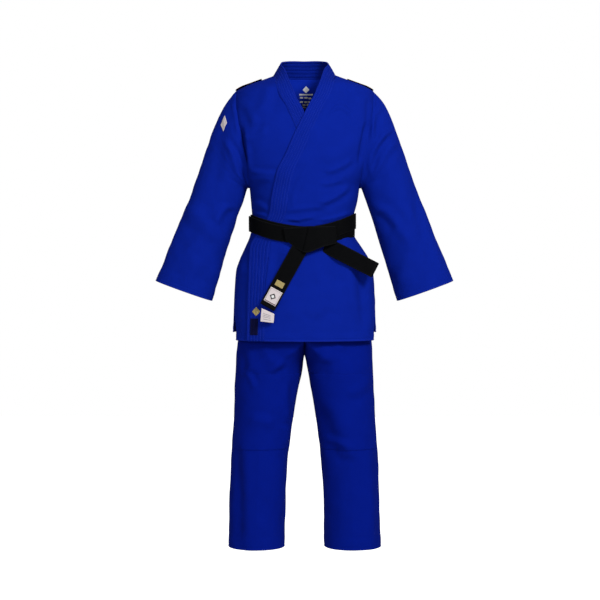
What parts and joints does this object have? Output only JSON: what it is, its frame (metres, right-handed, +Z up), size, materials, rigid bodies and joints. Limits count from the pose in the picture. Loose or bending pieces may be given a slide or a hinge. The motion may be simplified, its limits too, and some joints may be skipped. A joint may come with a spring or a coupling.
{
  "type": "martial arts uniform",
  "caption": "Blue judo uniform: crossed heavy-weave jacket with stitched lapel band, wide sleeves and side vents, tied black belt, and straight trousers with knee patches.",
  "frame": {"origin": "on the shoulder line midway between the shoulders, where the uniform hangs on its wearer or stand; the trouser hems are 1300 mm below", "axes": "+Z up, -Y to the front, +X to the wearer's left"},
  "size_m": [0.848, 0.2585, 1.384],
  "materials": {
    "jacket_cloth": "heavy rice-grain cotton weave, matt",
    "lapel_cloth": "quilted cotton band with parallel stitch rows",
    "trouser_cloth": "cotton twill, matt",
    "belt_cotton": "black cotton belt with parallel stitch rows, slight sheen",
    "label_white": "woven satin label",
    "label_dark": "dark woven label",
    "mark_gold": "gold thread embroidery",
    "eyelet_metal": "stamped eyelet"
  },
  "bodies": {
    "jacket": {"back_yoke": "jacket_cloth", "back_panel": "jacket_cloth", "front_panel_left": "jacket_cloth", "front_panel_right": "jacket_cloth", "collar": "lapel_cloth", "lapel_left": "lapel_cloth", "lapel_right": "lapel_cloth", "shoulder_tape_left": "label_dark", "shoulder_tape_right": "label_dark", "neck_label": "label_white", "sleeve_head_left": "jacket_cloth", "sleeve_head_right": "jacket_cloth", "belt_inner_wrap": "belt_cotton", "belt_outer_wrap": "belt_cotton", "belt_knot": "belt_cotton"},
    "left_sleeve": {"sleeve_left": "jacket_cloth", "cuff_left": "jacket_cloth"},
    "right_sleeve": {"sleeve_right": "jacket_cloth", "cuff_right": "jacket_cloth", "sleeve_patch": "mark_gold"},
    "front_skirt": {"skirt_front_left": "jacket_cloth", "skirt_front_right": "jacket_cloth", "lapel_lower_left": "lapel_cloth", "hem_mark": "mark_gold", "hem_label": "label_dark"},
    "back_skirt": {"skirt_back": "jacket_cloth"},
    "long_tail": {"belt_long_tail": "belt_cotton", "belt_mark": "mark_gold", "belt_label": "label_white", "belt_care_tag": "label_white"},
    "short_tail": {"belt_short_tail": "belt_cotton"},
    "trousers": {"waistband": "trouser_cloth", "drawcord_eyelets": "eyelet_metal", "drawcord_loop": "trouser_cloth", "seat_left": "trouser_cloth", "seat_right": "trouser_cloth", "thigh_left": "trouser_cloth", "thigh_right": "trouser_cloth", "knee_left": "trouser_cloth", "knee_right": "trouser_cloth", "knee_patch_left": "trouser_cloth", "knee_patch_right": "trouser_cloth"},
    "left_lower_leg": {"lower_leg_left": "trouser_cloth", "leg_hem_left": "trouser_cloth"},
    "right_lower_leg": {"lower_leg_right": "trouser_cloth", "leg_hem_right": "trouser_cloth"}
  },
  "joints": [
    {"name": "left_shoulder", "type": "hinge", "parent": "jacket", "child": "left_sleeve", "pos_m": [0.185, 0.004, -0.065], "axis": [0, -1, 0], "range_deg": [0, 70], "deforming": ["sleeve_head_left"]},
    {"name": "right_shoulder", "type": "hinge", "parent": "jacket", "child": "right_sleeve", "pos_m": [-0.185, 0.004, -0.065], "axis": [0, 1, 0], "range_deg": [0, 70], "deforming": ["sleeve_head_right", "sleeve_patch"]},
    {"name": "front_skirt_lift", "type": "hinge", "parent": "jacket", "child": "front_skirt", "pos_m": [0, -0.104, -0.446], "axis": [-1, 0, 0], "range_deg": [0, 14], "stiffness_Nm_per_rad": 3},
    {"name": "back_skirt_lift", "type": "hinge", "parent": "jacket", "child": "back_skirt", "pos_m": [0, 0.105, -0.446], "axis": [1, 0, 0], "range_deg": [0, 14], "stiffness_Nm_per_rad": 3},
    {"name": "long_tail_lift", "type": "hinge", "parent": "front_skirt", "child": "long_tail", "pos_m": [-0.03, -0.1245, -0.462], "axis": [-1, 0, 0], "range_deg": [0, 60], "stiffness_Nm_per_rad": 0.3},
    {"name": "short_tail_lift", "type": "hinge", "parent": "front_skirt", "child": "short_tail", "pos_m": [0.098, -0.1245, -0.464], "axis": [-0.454, 0, -0.891], "range_deg": [0, 50], "stiffness_Nm_per_rad": 0.3},
    {"name": "trousers_slide", "type": "slide", "parent": "jacket", "child": "trousers", "axis": [0, 0, -1], "range_m": [0, 0.5]},
    {"name": "left_knee", "type": "hinge", "parent": "trousers", "child": "left_lower_leg", "pos_m": [0.12, 0.002, -0.9], "axis": [1, 0, 0], "range_deg": [0, 75], "deforming": ["knee_left", "knee_patch_left"]},
    {"name": "right_knee", "type": "hinge", "parent": "trousers", "child": "right_lower_leg", "pos_m": [-0.12, 0.002, -0.9], "axis": [1, 0, 0], "range_deg": [0, 75], "deforming": ["knee_right", "knee_patch_right"]}
  ]
}
